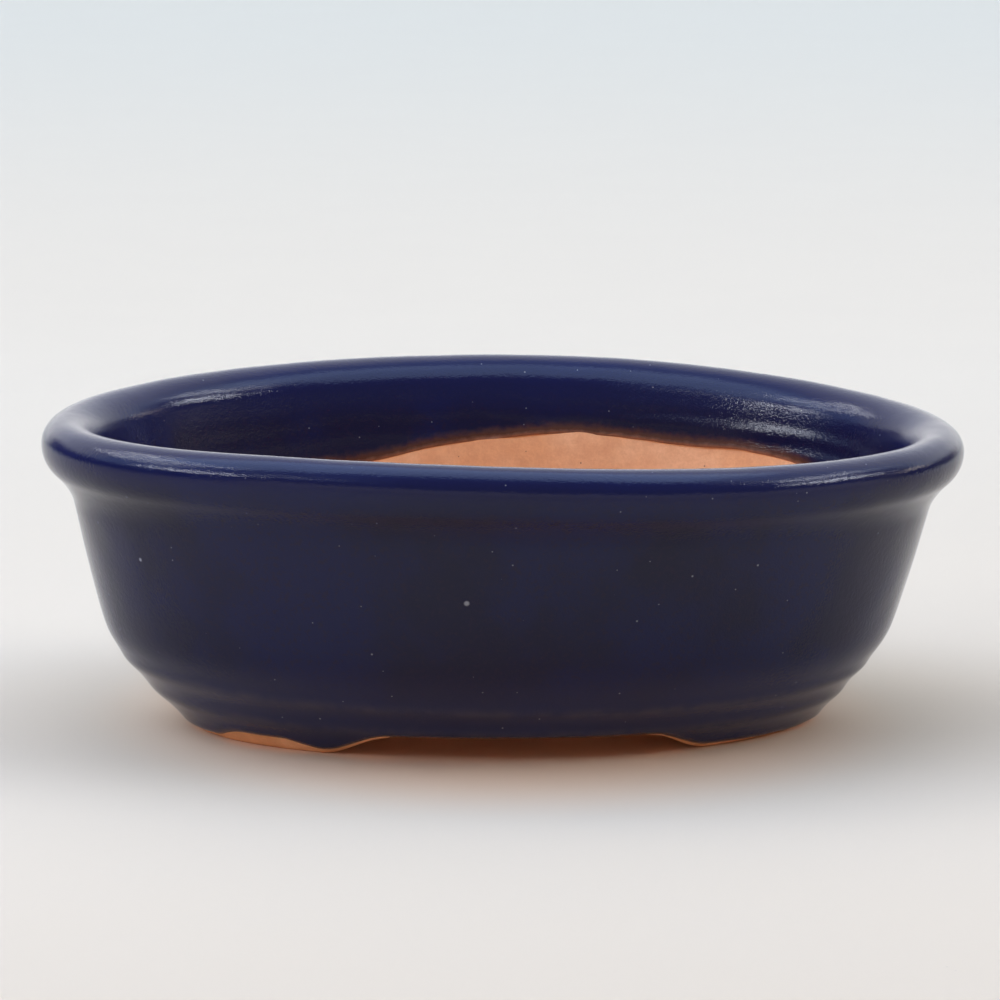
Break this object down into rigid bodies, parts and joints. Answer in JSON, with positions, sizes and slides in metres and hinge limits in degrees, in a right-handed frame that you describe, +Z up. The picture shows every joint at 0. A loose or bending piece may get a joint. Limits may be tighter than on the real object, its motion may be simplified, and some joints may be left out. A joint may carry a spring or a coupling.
{
  "type": "bonsai pot",
  "caption": "Oval glazed ceramic bonsai pot with a flared rolled lip, softly ridged skirt, low end feet with open arches and a drained floor.",
  "frame": {"origin": "middle of the oval, on the ground plane under the feet", "axes": "+X along the oval's length, +Y across it to the back, +Z up out of the mouth"},
  "size_m": [0.16, 0.12, 0.053],
  "materials": {
    "clay": "unglazed fired terracotta, matt and slightly gritty",
    "glaze": "glossy navy glaze with a light orange-peel skin"
  },
  "bodies": {
    "root": {"wall_shell": "clay", "rim_roll": "clay", "floor_slab": "clay", "foot_left": "clay", "foot_right": "clay", "glaze_coat": "glaze"}
  },
  "joints": []
}
